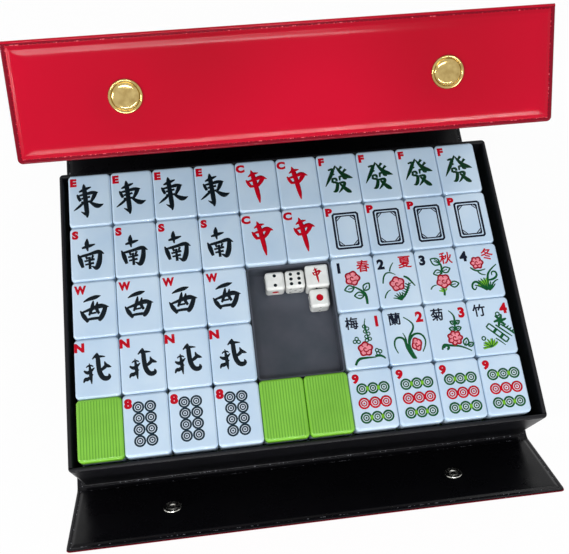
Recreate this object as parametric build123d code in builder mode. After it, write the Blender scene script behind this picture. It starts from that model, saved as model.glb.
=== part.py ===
"""A travelling mahjong case, standing open.

A folding cover of boards sealed between two vinyl skins wraps a black tray. The tray holds three
layers of tiles, and a well in the top layer holds a small dice tray with three dice and a wind die.
Origin: centre of the tray on the table. +X right, +Y away from the player, +Z up. Millimetres.
"""
from build123d import *
from math import cos, radians, sin
import os

os.makedirs("parts", exist_ok=True)

# ---- Tiles ----
TILE_WIDTH = 21.8
TILE_LENGTH = 29.8
TILE_HEIGHT = 16.0
TILE_BACK = 5.0  # thickness of the coloured back slab
TILE_GAP = 0.2  # between neighbours in a row or column
TILE_CORNER = 2.2  # radius of the upright corners
TILE_ROUND = 1.3  # radius round the side that shows
COLUMNS = 10
ROWS = 5
LAYERS = 3

# ---- Tray ----
WALL = 2.2
TRAY_FLOOR = 1.6
RIM_DROP = 3.0  # the rim lies this far below the tops of the tiles
RIM_ROUND = 0.9
TRAY_CORNER = 2.0  # radius of the tray's upright outer corners
GAP_LEFT = 2.8  # from the block of tiles to each wall
GAP_RIGHT = 6.0
GAP_BACK = 0.6
GAP_FRONT = 1.2

# ---- Cover ----
BOARD = 1.2
SKIN = 0.4
SEAM = 4.0  # welded margin round each board
COVER_MARGIN = 3.6  # the cover stands out past each end of the tray
PANEL_CLEARANCE = 0.4  # from a closed panel to the tray
LID_CLEARANCE = 0.6  # from the closed lid to the tiles
CORNER = 5.0  # radius at a flap's free corners
CORNER_STEP = 1.0  # the board's corners are this much tighter
PUFF = 0.35  # radius round a board's raised face
SPINE_WIDTH = 4.0  # strip between the back panel and the lid
BEAD_RADIUS = 0.5  # pressed bead along a crease
CREASE_CLEARANCE = 0.5

# ---- Rest pose, degrees above the table, counted from +Y ----
SPINE_ANGLE = 50.0
LID_ANGLE = 106.5
SNAP_FLAP_ANGLE = 220.0
FRONT_FLAP_ANGLE = 130.0
SPINE_ANGLE_CLOSED = 93.5

# ---- Snaps ----
SNAP_SPACING = 142.0
SNAP_HEIGHT = 27.0  # above the table when the case is closed
SHANK_RADIUS = 1.5
SHANK_CLEARANCE = 0.1
CAP_RADIUS = 7.5
CAP_HEIGHT = 1.6
CAP_ROUND = 1.2
CAP_GROOVE_RADIUS = 5.2
CAP_GROOVE_DEPTH = 0.35
SOCKET_RADIUS = 5.5
SOCKET_HEIGHT = 1.3
STUD_BASE_RADIUS = 4.8
STUD_BASE_HEIGHT = 0.5
STUD_RADIUS = 2.2
STUD_HEIGHT = 1.2
STUD_CLEARANCE = 0.3
POST_RADIUS = 4.6
POST_HEIGHT = 0.8
POST_BORE = 1.8
SNAP_GAP = 0.2  # from the socket to the stud's base when snapped

# ---- Dice tray and dice ----
WELL_COLUMNS = (5, 6)
WELL_ROWS = (3, 4)
DICE_TRAY_WALL = 0.8
DICE_TRAY_HEIGHT = 13.0
DICE_TRAY_CLEARANCE = 0.3
DICE_TRAY_CORNER = 2.2
DIE = 10.0
DIE_ROUND = 1.7
PIP_RADIUS = 0.95
RED_PIP_RADIUS = 1.9
PIP_DEPTH = 0.35
PIP_STEP = 2.6
SIX_SPREAD = 0.8  # the six's two columns stand this share of a step off centre
WIND_DIE = 12.0
WIND_DIE_ROUND = 1.2
DICE_GAP = 0.5

# ---- Worked out from the sizes above ----
PANEL = BOARD + 2 * SKIN
TILE_PITCH_X = TILE_WIDTH + TILE_GAP
TILE_PITCH_Y = TILE_LENGTH + TILE_GAP
BLOCK_WIDTH = COLUMNS * TILE_PITCH_X - TILE_GAP
BLOCK_LENGTH = ROWS * TILE_PITCH_Y - TILE_GAP
TRAY_WIDTH = BLOCK_WIDTH + GAP_LEFT + GAP_RIGHT + 2 * WALL
TRAY_LENGTH = BLOCK_LENGTH + GAP_BACK + GAP_FRONT + 2 * WALL
BLOCK_X = (GAP_LEFT - GAP_RIGHT) / 2
BLOCK_Y = (GAP_FRONT - GAP_BACK) / 2
TILE_BASE = PANEL + TRAY_FLOOR
TILE_TOP = TILE_BASE + LAYERS * TILE_HEIGHT
RIM = TILE_TOP - RIM_DROP
COVER_WIDTH = TRAY_WIDTH + 2 * COVER_MARGIN
MID = PANEL / 2  # mid-plane of a panel that lies on the table

BACK_CREASE_Y = TRAY_LENGTH / 2 + PANEL_CLEARANCE + MID
FRONT_CREASE_Y = -(TRAY_LENGTH / 2 + PANEL_CLEARANCE + POST_HEIGHT + MID)
CLOSED_LID = TILE_TOP + LID_CLEARANCE + MID  # height of the closed lid's mid-plane
BACK_LENGTH = CLOSED_LID - MID - SPINE_WIDTH * sin(radians(SPINE_ANGLE_CLOSED))
SNAP_STACK = STUD_BASE_HEIGHT + SNAP_GAP + SOCKET_HEIGHT
CLOSED_SNAP_Y = FRONT_CREASE_Y - PANEL - SNAP_STACK
CLOSED_SPINE_Y = BACK_CREASE_Y + SPINE_WIDTH * cos(radians(SPINE_ANGLE_CLOSED))
LID_LENGTH = CLOSED_SPINE_Y - CLOSED_SNAP_Y
FRONT_FLAP_LENGTH = CLOSED_LID - 2 * MID - LID_CLEARANCE
SNAP_FLAP_LENGTH = CLOSED_LID - MID
CREASE_INSET = BEAD_RADIUS + CREASE_CLEARANCE
BOARD_CORNER = CORNER - CORNER_STEP


def along(y, z, angle, distance):
    """The point at a distance from (y, z), in the direction of an angle above the table."""
    return y + distance * cos(radians(angle)), z + distance * sin(radians(angle))


SPINE_Y, SPINE_Z = BACK_CREASE_Y + BACK_LENGTH, MID
LID_Y, LID_Z = along(SPINE_Y, SPINE_Z, SPINE_ANGLE, SPINE_WIDTH)
SNAP_Y, SNAP_Z = along(LID_Y, LID_Z, LID_ANGLE, LID_LENGTH)


def write(part, name):
    """Label a finished piece and write its STEP file."""
    part.label = name
    export_step(part, f"parts/{name}.step")


# ---- Cover: every panel is a board sealed between a red outer skin and a black inner skin ----
def panel_plane(y, z, angle, turned=1):
    """A panel's mid-plane, from its crease. Local Y runs along the panel, local Z to its inner side."""
    tilt = radians(angle)
    return Plane(origin=(0, y, z), x_dir=(turned, 0, 0), z_dir=(0, -turned * sin(tilt), turned * cos(tilt)))


def span(low, high, width, corner=0.0):
    """A sketch rectangle from low to high along local Y, its far corners rounded."""
    with BuildSketch(mode=Mode.PRIVATE) as outline:
        with Locations((0, (low + high) / 2)):
            Rectangle(width, high - low)
        if corner:
            fillet(outline.vertices().group_by(Axis.Y)[-1], corner)
    return outline.sketch_local


def make_board(plane, length, free_edge, holes):
    """The stiff board, a seam's width in from every side of its panel."""
    with BuildPart(plane) as board:
        with BuildSketch(plane):
            add(span(SEAM, length - SEAM, COVER_WIDTH - 2 * SEAM, BOARD_CORNER if free_edge else 0))
        extrude(amount=BOARD / 2, both=True)
        if holes:
            with Locations(*holes):
                Cylinder(SHANK_RADIUS + SHANK_CLEARANCE, 2 * PANEL, mode=Mode.SUBTRACT)
    return board.part


def make_skin(plane, length, free_edge, holes, side):
    """One vinyl sheet: a flat welded margin and a face raised over the board, hollow behind."""
    far = length if free_edge else length - CREASE_INSET
    corner = CORNER if free_edge else 0
    edge = SEAM - SKIN
    rise = BOARD / 2 + SKIN
    with BuildPart(plane) as skin:
        with BuildSketch(plane):
            add(span(CREASE_INSET, far, COVER_WIDTH, corner))
        extrude(amount=side * SKIN)
        with BuildSketch(plane):
            add(span(edge, length - edge, COVER_WIDTH - 2 * edge, corner))
        extrude(amount=side * rise)
        face = skin.faces().sort_by(Axis(plane.origin, plane.z_dir * side))[-1]
        fillet(face.edges(), PUFF)
        with BuildSketch(plane):
            add(span(SEAM, length - SEAM, COVER_WIDTH - 2 * SEAM, BOARD_CORNER if free_edge else 0))
        extrude(amount=side * BOARD / 2, mode=Mode.SUBTRACT)
        if holes:
            with Locations(*holes):
                Cylinder(SHANK_RADIUS + SHANK_CLEARANCE, 2 * PANEL, mode=Mode.SUBTRACT)
    return skin.part


def make_panel(name, plane, length, free_edge=False, holes=()):
    write(make_board(plane, length, free_edge, holes), f"{name}_board")
    write(make_skin(plane, length, free_edge, holes, 1), f"{name}_inner_skin")
    write(make_skin(plane, length, free_edge, holes, -1), f"{name}_outer_skin")


FRONT_FLAP_PLANE = panel_plane(FRONT_CREASE_Y, MID, FRONT_FLAP_ANGLE, turned=-1)
SNAP_FLAP_PLANE = panel_plane(SNAP_Y, SNAP_Z, SNAP_FLAP_ANGLE)
STUD_AT = SNAP_HEIGHT - MID  # along the front flap
SOCKET_AT = CLOSED_LID - SNAP_HEIGHT  # along the snap flap
STUD_POINTS = [(side * SNAP_SPACING / 2, STUD_AT) for side in (-1, 1)]
SOCKET_POINTS = [(side * SNAP_SPACING / 2, SOCKET_AT) for side in (-1, 1)]

make_panel("bottom_panel", panel_plane(FRONT_CREASE_Y, MID, 0), BACK_CREASE_Y - FRONT_CREASE_Y)
make_panel("back_panel", panel_plane(BACK_CREASE_Y, MID, 0), BACK_LENGTH)
make_panel("lid", panel_plane(LID_Y, LID_Z, LID_ANGLE), LID_LENGTH)
make_panel("snap_flap", SNAP_FLAP_PLANE, SNAP_FLAP_LENGTH, True, SOCKET_POINTS)
make_panel("front_flap", FRONT_FLAP_PLANE, FRONT_FLAP_LENGTH, True, STUD_POINTS)

# ---- Creases: a pressed bead along each fold, and the narrow strip behind the lid ----
CREASES = {
    "front_crease": (FRONT_CREASE_Y, MID),
    "back_crease": (BACK_CREASE_Y, MID),
    "spine_crease": (SPINE_Y, SPINE_Z),
    "lid_crease": (LID_Y, LID_Z),
    "snap_crease": (SNAP_Y, SNAP_Z),
}
for crease_name, (crease_y, crease_z) in CREASES.items():
    with BuildPart(Plane(origin=(0, crease_y, crease_z), z_dir=(1, 0, 0))) as crease:
        Cylinder(BEAD_RADIUS, COVER_WIDTH)
    write(crease.part, crease_name)

SPINE_PLANE = panel_plane(SPINE_Y, SPINE_Z, SPINE_ANGLE)
with BuildPart(SPINE_PLANE) as spine_strip:
    with BuildSketch(SPINE_PLANE):
        add(span(CREASE_INSET, SPINE_WIDTH - CREASE_INSET, COVER_WIDTH))
    extrude(amount=SKIN, both=True)
write(spine_strip.part, "spine_strip")

# ---- Tray ----
INNER_WIDTH = TRAY_WIDTH - 2 * WALL
INNER_LENGTH = TRAY_LENGTH - 2 * WALL
with BuildPart(Plane.XY.offset(PANEL)) as tray_floor:
    with BuildSketch(Plane.XY.offset(PANEL)):
        Rectangle(INNER_WIDTH, INNER_LENGTH)
    extrude(amount=TRAY_FLOOR)
write(tray_floor.part, "tray_floor")


def make_wall(name, width, length, x, y, outer_y=0):
    """An upright wall of the tray; a front or back wall has its outer corners rounded."""
    with BuildPart(Plane.XY.offset(PANEL)) as wall:
        with BuildSketch(Plane.XY.offset(PANEL)) as plan:
            with Locations((x, y)):
                Rectangle(width, length)
            if outer_y:
                fillet(plan.vertices().group_by(Axis.Y)[-1 if outer_y > 0 else 0], TRAY_CORNER)
        extrude(amount=RIM - PANEL)
        fillet(wall.faces().sort_by(Axis.Z)[-1].edges().filter_by(Axis.X if outer_y else Axis.Y), RIM_ROUND)
    write(wall.part, name)


WALL_Y = (TRAY_LENGTH - WALL) / 2
WALL_X = (TRAY_WIDTH - WALL) / 2
make_wall("tray_back_wall", TRAY_WIDTH, WALL, 0, WALL_Y, 1)
make_wall("tray_front_wall", TRAY_WIDTH, WALL, 0, -WALL_Y, -1)
make_wall("tray_left_wall", WALL, INNER_LENGTH, -WALL_X, 0)
make_wall("tray_right_wall", WALL, INNER_LENGTH, WALL_X, 0)


# ---- Snaps: caps and sockets on the snap flap, studs and posts on the front flap ----
def disc(points, radius, low, high):
    with Locations(*[(x, y, (low + high) / 2) for x, y in points]):
        Cylinder(radius, high - low)


def bore(points, radius, low, high):
    with Locations(*[(x, y, (low + high) / 2) for x, y in points]):
        Cylinder(radius, high - low, mode=Mode.SUBTRACT)


FACE = PANEL / 2
with BuildPart(SNAP_FLAP_PLANE) as snap_caps:
    disc(SOCKET_POINTS, CAP_RADIUS, -FACE - CAP_HEIGHT, -FACE)
    cap_tops = snap_caps.faces().group_by(Axis(SNAP_FLAP_PLANE.origin, SNAP_FLAP_PLANE.z_dir))[0]
    fillet(cap_tops.edges(), CAP_ROUND)
    with Locations(*[(x, y, -FACE - CAP_HEIGHT) for x, y in SOCKET_POINTS]):
        Torus(CAP_GROOVE_RADIUS, CAP_GROOVE_DEPTH, mode=Mode.SUBTRACT)
    disc(SOCKET_POINTS, SHANK_RADIUS, -FACE, FACE)
write(snap_caps.part, "snap_caps")

with BuildPart(SNAP_FLAP_PLANE) as snap_sockets:
    disc(SOCKET_POINTS, SOCKET_RADIUS, FACE, FACE + SOCKET_HEIGHT)
    bore(SOCKET_POINTS, STUD_RADIUS + STUD_CLEARANCE, FACE, FACE + SOCKET_HEIGHT)
write(snap_sockets.part, "snap_sockets")

with BuildPart(FRONT_FLAP_PLANE) as snap_studs:
    disc(STUD_POINTS, STUD_BASE_RADIUS, -FACE - STUD_BASE_HEIGHT, -FACE)
    disc(STUD_POINTS, STUD_RADIUS, -FACE - STUD_BASE_HEIGHT - STUD_HEIGHT, -FACE)
    disc(STUD_POINTS, SHANK_RADIUS, -FACE, FACE)
write(snap_studs.part, "snap_studs")

with BuildPart(FRONT_FLAP_PLANE) as snap_posts:
    disc(STUD_POINTS, POST_RADIUS, FACE, FACE + POST_HEIGHT)
    post_tops = snap_posts.faces().group_by(Axis(FRONT_FLAP_PLANE.origin, FRONT_FLAP_PLANE.z_dir))[-1]
    fillet(post_tops.edges(), POST_HEIGHT / 2)
    bore(STUD_POINTS, POST_BORE, FACE, FACE + POST_HEIGHT)
write(snap_posts.part, "snap_posts")


# ---- Tiles: each is a white face block on a coloured back slab ----
def cell(column, row):
    """Centre of a tile, columns counted from the left and rows from the back."""
    x = BLOCK_X + (column - (COLUMNS + 1) / 2) * TILE_PITCH_X
    y = BLOCK_Y + ((ROWS + 1) / 2 - row) * TILE_PITCH_Y
    return x, y


def slabs(cells, low, high, corner=0.0, softened=False):
    """Blocks from low to high, with rounded upright corners where they are given a radius."""
    with BuildPart(Plane.XY.offset(low)) as group:
        with BuildSketch(Plane.XY.offset(low)):
            with Locations(*[cell(column, row) for column, row in cells]):
                if corner:
                    RectangleRounded(TILE_WIDTH, TILE_LENGTH, corner)
                else:
                    Rectangle(TILE_WIDTH, TILE_LENGTH)
        extrude(amount=high - low)
        if softened:
            fillet(group.edges().group_by(Axis.Z)[-1], TILE_ROUND)
    return group.part


def columns(first, last, *rows):
    return [(column, row) for row in rows for column in range(first, last + 1)]


TOP_BASE = TILE_TOP - TILE_HEIGHT
KINDS = {
    "east_tiles": columns(1, 4, 1),
    "south_tiles": columns(1, 4, 2),
    "west_tiles": columns(1, 4, 3),
    "north_tiles": columns(1, 4, 4),
    "red_dragon_tiles": columns(5, 6, 1, 2),
    "green_dragon_tiles": columns(7, 10, 1),
    "white_dragon_tiles": columns(7, 10, 2),
    "season_tiles": columns(7, 10, 3),
    "flower_tiles": columns(7, 10, 4),
    "eight_circle_tiles": columns(2, 4, 5),
    "nine_circle_tiles": columns(7, 10, 5),
}
for kind, cells in KINDS.items():
    write(slabs(cells, TOP_BASE + TILE_BACK, TILE_TOP, TILE_CORNER, True), kind)

BACKS = {
    "rear_tile_backs": columns(1, 10, 1, 2),
    "left_tile_backs": columns(1, 4, 3, 4),
    "right_tile_backs": columns(7, 10, 3, 4),
    "front_tile_backs": columns(2, 4, 5) + columns(7, 10, 5),
}
for kind, cells in BACKS.items():
    write(slabs(cells, TOP_BASE, TOP_BASE + TILE_BACK, TILE_CORNER), kind)

FACE_DOWN = columns(1, 1, 5) + columns(5, 6, 5)
write(slabs(FACE_DOWN, TOP_BASE, TILE_TOP - TILE_BACK, TILE_CORNER), "face_down_tile_faces")
write(slabs(FACE_DOWN, TILE_TOP - TILE_BACK, TILE_TOP, TILE_CORNER, True), "face_down_tile_backs")

ALL_CELLS = columns(1, COLUMNS, *range(1, ROWS + 1))
for layer, layer_name in enumerate(("lower", "middle")):
    base = TILE_BASE + layer * TILE_HEIGHT
    write(slabs(ALL_CELLS, base, base + TILE_BACK), f"{layer_name}_layer_backs")
    write(slabs(ALL_CELLS, base + TILE_BACK, base + TILE_HEIGHT), f"{layer_name}_layer_faces")

# ---- Dice tray, in the well left open in the top layer ----
WELL_X, WELL_Y = (
    (cell(WELL_COLUMNS[0], WELL_ROWS[0])[axis] + cell(WELL_COLUMNS[-1], WELL_ROWS[-1])[axis]) / 2
    for axis in (0, 1)
)
WELL_WIDTH = len(WELL_COLUMNS) * TILE_PITCH_X + TILE_GAP
WELL_LENGTH = len(WELL_ROWS) * TILE_PITCH_Y + TILE_GAP
DICE_TRAY_WIDTH = WELL_WIDTH - 2 * DICE_TRAY_CLEARANCE
DICE_TRAY_LENGTH = WELL_LENGTH - 2 * DICE_TRAY_CLEARANCE
with BuildPart(Plane.XY.offset(TOP_BASE)) as dice_tray:
    with BuildSketch(Plane.XY.offset(TOP_BASE)):
        with Locations((WELL_X, WELL_Y)):
            RectangleRounded(DICE_TRAY_WIDTH, DICE_TRAY_LENGTH, DICE_TRAY_CORNER)
    extrude(amount=DICE_TRAY_HEIGHT)
    offset(amount=-DICE_TRAY_WALL, openings=dice_tray.faces().sort_by(Axis.Z)[-1])
write(dice_tray.part, "dice_tray")

# ---- Dice: opposite faces add up to seven ----
PIPS = {
    1: [(0, 0)],
    2: [(0, 1), (0, -1)],
    3: [(-1, 1), (0, 0), (1, -1)],
    4: [(-1, 1), (-1, -1), (1, 1), (1, -1)],
    5: [(-1, 1), (-1, -1), (0, 0), (1, 1), (1, -1)],
    6: [(side, step) for side in (-SIX_SPREAD, SIX_SPREAD) for step in (-1, 0, 1)],
}
DICE_FLOOR = TOP_BASE + DICE_TRAY_WALL


def make_die(name, x, y, top, front, right):
    """A rounded cube with dished pips; the sides not named follow from the ones that are."""
    centre = Vector(x, y, DICE_FLOOR + DIE / 2)
    sides = {
        top: ((0, 0, 1), (1, 0, 0)),
        7 - top: ((0, 0, -1), (1, 0, 0)),
        front: ((0, -1, 0), (1, 0, 0)),
        7 - front: ((0, 1, 0), (1, 0, 0)),
        right: ((1, 0, 0), (0, 1, 0)),
        7 - right: ((-1, 0, 0), (0, 1, 0)),
    }
    with BuildPart(Plane(origin=centre)) as die:
        Box(DIE, DIE, DIE)
        fillet(die.edges(), DIE_ROUND)
        for value, (normal, x_dir) in sides.items():
            radius = RED_PIP_RADIUS if value == 1 else PIP_RADIUS
            face = Plane(origin=centre + Vector(*normal) * (DIE / 2), x_dir=x_dir, z_dir=normal)
            with BuildSketch(face):
                with Locations(*[(u * PIP_STEP, v * PIP_STEP) for u, v in PIPS[value]]):
                    Circle(radius)
            extrude(amount=-PIP_DEPTH, mode=Mode.SUBTRACT)
    write(die.part, name)


WELL_RIGHT = WELL_X + DICE_TRAY_WIDTH / 2 - DICE_TRAY_WALL
WELL_BACK = WELL_Y + DICE_TRAY_LENGTH / 2 - DICE_TRAY_WALL
WIND_X = WELL_RIGHT - DICE_GAP - WIND_DIE / 2
WIND_Y = WELL_BACK - DICE_GAP - WIND_DIE / 2
SIX_X = WIND_X - WIND_DIE / 2 - DICE_GAP - DIE / 2
TWO_X = SIX_X - DIE - DICE_GAP
ONE_Y = WIND_Y - WIND_DIE / 2 - DICE_GAP - DIE / 2
make_die("die_two", TWO_X, WIND_Y, 2, 1, 3)
make_die("die_six", SIX_X, WIND_Y, 6, 5, 3)
make_die("die_one", WIND_X, ONE_Y, 1, 2, 3)

with BuildPart(Plane(origin=(WIND_X, WIND_Y, DICE_FLOOR + WIND_DIE / 2))) as wind_die:
    Box(WIND_DIE, WIND_DIE, WIND_DIE)
    fillet(wind_die.edges(), WIND_DIE_ROUND)
write(wind_die.part, "wind_die")
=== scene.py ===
# %% [markdown]
# # A travelling mahjong case, lying open
# The case is a folding cover of boards sealed in vinyl, red outside and black inside, round a black tray.
# The tray holds three layers of tiles, and a small dice tray sits in a well of the top layer. The measured
# pieces come from the frame. This lesson dresses them: vinyl skins, engraved markings, snaps and dice.

# %% Load the frame
from math import cos, floor, hypot, pi, radians, sin

import bpy
from mathutils import Euler, Matrix, Vector, noise


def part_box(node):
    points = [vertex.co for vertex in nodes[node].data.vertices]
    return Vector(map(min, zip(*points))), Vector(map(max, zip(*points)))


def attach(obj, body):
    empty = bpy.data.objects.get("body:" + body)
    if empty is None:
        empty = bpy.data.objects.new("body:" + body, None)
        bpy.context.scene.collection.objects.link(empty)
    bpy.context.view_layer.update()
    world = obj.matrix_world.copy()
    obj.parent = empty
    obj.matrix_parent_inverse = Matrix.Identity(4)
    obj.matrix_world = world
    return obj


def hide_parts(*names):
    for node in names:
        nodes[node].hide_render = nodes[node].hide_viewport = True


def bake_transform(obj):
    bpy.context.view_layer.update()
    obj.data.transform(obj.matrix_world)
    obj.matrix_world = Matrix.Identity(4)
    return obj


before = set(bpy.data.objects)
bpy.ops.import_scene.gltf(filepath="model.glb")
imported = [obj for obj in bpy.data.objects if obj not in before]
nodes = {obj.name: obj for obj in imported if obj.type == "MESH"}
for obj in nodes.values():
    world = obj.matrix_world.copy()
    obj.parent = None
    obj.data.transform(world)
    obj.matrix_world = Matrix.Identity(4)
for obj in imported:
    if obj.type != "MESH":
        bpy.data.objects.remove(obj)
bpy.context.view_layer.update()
MM = 0.001

# %% [markdown]
# Every operator in Blender acts on whatever is selected, so each step starts from an empty selection.
# Two small helpers do that, and a third joins several meshes into one object.


# %% Helpers for selecting and joining
def select_only(*pieces):
    bpy.ops.object.select_all(action="DESELECT")
    for piece in pieces:
        piece.select_set(True)
    bpy.context.view_layer.objects.active = pieces[-1]


def joined(pieces, name):
    """Several meshes as one object with that name."""
    select_only(*pieces)
    if len(pieces) > 1:
        bpy.ops.object.join()
    piece = bpy.context.object
    piece.name = name
    piece.data.name = name
    return piece


def settle(piece):
    """Put the object's place, turn and size into its mesh."""
    piece.data.transform(piece.matrix_basis)
    piece.matrix_basis = Matrix.Identity(4)
    return piece


def colour(red, green, blue):
    """A colour as it is read off a screen, 0 to 255, in the linear values that a shader takes."""
    channels = [value / 255 for value in (red, green, blue)]
    linear = [c / 12.92 if c <= 0.04045 else ((c + 0.055) / 1.055) ** 2.4 for c in channels]
    return (*linear, 1.0)


print("red vinyl in linear values:", [round(v, 3) for v in colour(200, 0, 35)])

# %% [markdown]
# The finishes, the floor and the world are all built from shader nodes. Each helper takes the material or
# world that owns the nodes. A value may be a plain number, a colour, or the socket of another node.


# %% Helpers for nodes
def plug(owner, value, target):
    """Feed an input from a socket, or set it to a plain value."""
    if isinstance(value, bpy.types.NodeSocket):
        owner.node_tree.links.new(value, target)
    else:
        target.default_value = value


def node(owner, kind, **values):
    """A new node. Each value sets the property or feeds the input of its name, with _ for a space."""
    added = owner.node_tree.nodes.new(kind)
    for key, value in values.items():
        if hasattr(added, key):
            setattr(added, key, value)
        else:
            plug(owner, value, added.inputs[key.replace("_", " ")])
    return added


def calc(owner, operation, first, second=0.0):
    """The result of one operation on two values."""
    added = node(owner, "ShaderNodeMath", operation=operation)
    plug(owner, first, added.inputs[0])
    plug(owner, second, added.inputs[1])
    return added.outputs[0]


def parts(owner, vector):
    """The X, Y and Z of a vector, each as a socket."""
    split = node(owner, "ShaderNodeSeparateXYZ")
    plug(owner, vector, split.inputs[0])
    return split.outputs


def mixed(owner, factor, one, other):
    """A colour between one, where the factor is 0, and the other."""
    mix = node(owner, "ShaderNodeMix", data_type="RGBA", Factor=factor)
    plug(owner, one, mix.inputs[6])
    plug(owner, other, mix.inputs[7])
    return mix.outputs[2]


def show_mixed(owner, factor, one, other, output_name):
    """Send a mix of two shaders to the owner's output."""
    mix = node(owner, "ShaderNodeMixShader")
    for value, target in zip((factor, one, other), mix.inputs):
        plug(owner, value, target)
    plug(owner, mix.outputs[0], owner.node_tree.nodes[output_name].inputs["Surface"])


def finish(name, tint, gloss, metal=0.0, coat=0.0, specular=0.5):
    """A material with its shader's plain values set; gloss is the roughness."""
    made = bpy.data.materials.new(name)
    made.use_nodes = True
    shader = shader_of(made)
    for key, value in (("Base Color", tint), ("Roughness", gloss), ("Metallic", metal), ("Coat Weight", coat),
                       ("Coat Roughness", 0.06), ("Specular IOR Level", specular)):
        shader.inputs[key].default_value = value
    made.diffuse_color = tint
    return made


def shader_of(made):
    return made.node_tree.nodes["Principled BSDF"]


def placed(name, data):
    """A new object with that data, in the scene."""
    piece = bpy.data.objects.new(name, data)
    bpy.context.scene.collection.objects.link(piece)
    return piece


print("node helpers:", [helper.__name__ for helper in (plug, node, calc, parts, mixed, show_mixed)])

# %% [markdown]
# ## Camera
# The picture was taken by hand from in front of the case, high above it and a little to the left, so the
# camera looks steeply down and is rolled a few degrees. A lens a little longer than normal keeps the tiles
# nearly square. The shift is small: it only frames the case as in the picture.

# %% Camera
CAMERA_PLACE = Vector((-42.9, -143.3, 474.4)) * MM
CAMERA_AZIMUTH = -14.97
CAMERA_ELEVATION = 67.96
CAMERA_ROLL = 8.54
CAMERA_LENS = 55.7
CAMERA_SHIFT = (-0.0132, -0.0486)

camera_data = bpy.data.cameras.new("camera")
camera_data.lens = CAMERA_LENS
camera_data.shift_x, camera_data.shift_y = CAMERA_SHIFT
camera = placed("camera", camera_data)
aim = Euler((radians(90 - CAMERA_ELEVATION), 0, radians(CAMERA_AZIMUTH))).to_matrix()
roll = Matrix.Rotation(radians(CAMERA_ROLL), 3, "Z")
camera.matrix_world = Matrix.Translation(CAMERA_PLACE) @ (aim @ roll).to_4x4()
bpy.context.scene.camera = camera
bpy.context.scene.view_settings.view_transform = "Standard"
print("camera height, mm:", round(camera.location.z / MM))

# %% [markdown]
# ## Floor and light
# A product picture has a pale floor that fades into white. The floor is a plain white surface that the
# camera sees almost wholly as a pure white glow, so that the case keeps a soft contact shadow and nothing
# else. The world is a pale grey that fills the shadows, but the camera and every mirror see it as white.
#
# Four narrow lamps add the lines of light. The window stands low in front, where the rounded front edges of
# the tiles mirror it. The ceiling hangs above, left_fill is mirrored in the padded left end of the red flap,
# and back_fill lights the back of the lid. All keep out of the way that the tile tops and the flat of the
# red flap mirror towards the camera, so both keep their full colour.


# %% Floor
def shown_rays(owner):
    """1 for the rays that see the background itself: from the camera, in a mirror or through glass."""
    path = node(owner, "ShaderNodeLightPath").outputs
    seen = calc(owner, "MAXIMUM", path["Is Camera Ray"], path["Is Glossy Ray"])
    return calc(owner, "MAXIMUM", seen, path["Is Transmission Ray"])


FLOOR_SIZE = 6.0
FLOOR_DROP = 0.0002  # under the case, so that the two share no plane
FLOOR_GLOW = 0.95  # share of the floor that the camera sees as pure white

bpy.ops.mesh.primitive_plane_add(size=FLOOR_SIZE, location=(0, 0, -FLOOR_DROP))
floor_piece = settle(bpy.context.object)
floor_piece.name = "floor"
floor_white = finish("floor_white", (0.86, 0.86, 0.86, 1), 0.7, specular=0.2)
glow = node(floor_white, "ShaderNodeEmission")
show_mixed(floor_white, calc(floor_white, "MULTIPLY", shown_rays(floor_white), FLOOR_GLOW),
           shader_of(floor_white).outputs[0], glow.outputs[0], "Material Output")
floor_piece.data.materials.append(floor_white)
print("floor, m:", FLOOR_SIZE)

# %% Lamps and world
MIDDLE = (0, 0, 0.05)
LAMPS = (  # name, place, target, width, height, power, tint
    ("window", (0.1, -1.3, 0.5), MIDDLE, 1.2, 0.04, 7.5, (1, 1, 1)),
    ("ceiling", (-0.1, -0.7, 1.8), MIDDLE, 1.0, 0.2, 11.5, (0.96, 0.98, 1)),
    ("back_fill", (0.7, 1.7, 0.9), MIDDLE, 0.9, 0.5, 6, (1, 1, 1)),
    ("left_fill", (-1.3, -0.55, 0.8), (-0.1, 0.1, 0.1), 0.1, 0.5, 7, (1, 1, 1)),
)
for name, place, target, width, height, power, tint in LAMPS:
    lamp_data = bpy.data.lights.new(name, "AREA")
    lamp_data.shape = "RECTANGLE"
    lamp_data.size, lamp_data.size_y = width, height
    lamp_data.energy = power
    lamp_data.color = tint
    lamp = placed(name, lamp_data)
    lamp.location = place
    lamp.rotation_euler = (Vector(target) - Vector(place)).to_track_quat("-Z", "Y").to_euler()

WORLD_STRENGTH = 0.46
world = bpy.data.worlds.new("studio")
bpy.context.scene.world = world
world.use_nodes = True
fill = world.node_tree.nodes["Background"]
fill.inputs["Color"].default_value = (0.93, 0.96, 1.0, 1)
fill.inputs["Strength"].default_value = WORLD_STRENGTH
backdrop = node(world, "ShaderNodeBackground", Color=(1, 1, 1, 1))
show_mixed(world, shown_rays(world), fill.outputs[0], backdrop.outputs[0], "World Output")

# %% [markdown]
# ## Finishes
# Nothing on the case is one flat colour. Each finish starts from a plain shader and then gets a slow change
# of tone, a change of gloss where hands rub it, and a fine relief, all from noise on Object coordinates in
# metres, so that a pattern has its real size. Each small helper below adds one such step, and surface takes
# them all.


# %% Helpers for finishes
def grain(made, size, detail=3.0):
    """Noise whose blotches are about size mm across."""
    place = node(made, "ShaderNodeTexCoord").outputs["Object"]
    return node(made, "ShaderNodeTexNoise", Scale=1 / (size * MM), Detail=detail, Vector=place).outputs["Fac"]


def between(made, source, low, high):
    """The source's middle range spread from low to high."""
    spread = node(made, "ShaderNodeMapRange", Value=source, From_Min=0.3, From_Max=0.7, To_Min=low, To_Max=high)
    return spread.outputs["Result"]


def tint_with(made, tone):
    plug(made, tone, shader_of(made).inputs["Base Color"])


def vary_tone(made, source, one, other):
    """Colour that drifts between two tones."""
    tone = mixed(made, between(made, source, 0, 1), one, other)
    tint_with(made, tone)
    return tone


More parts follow.
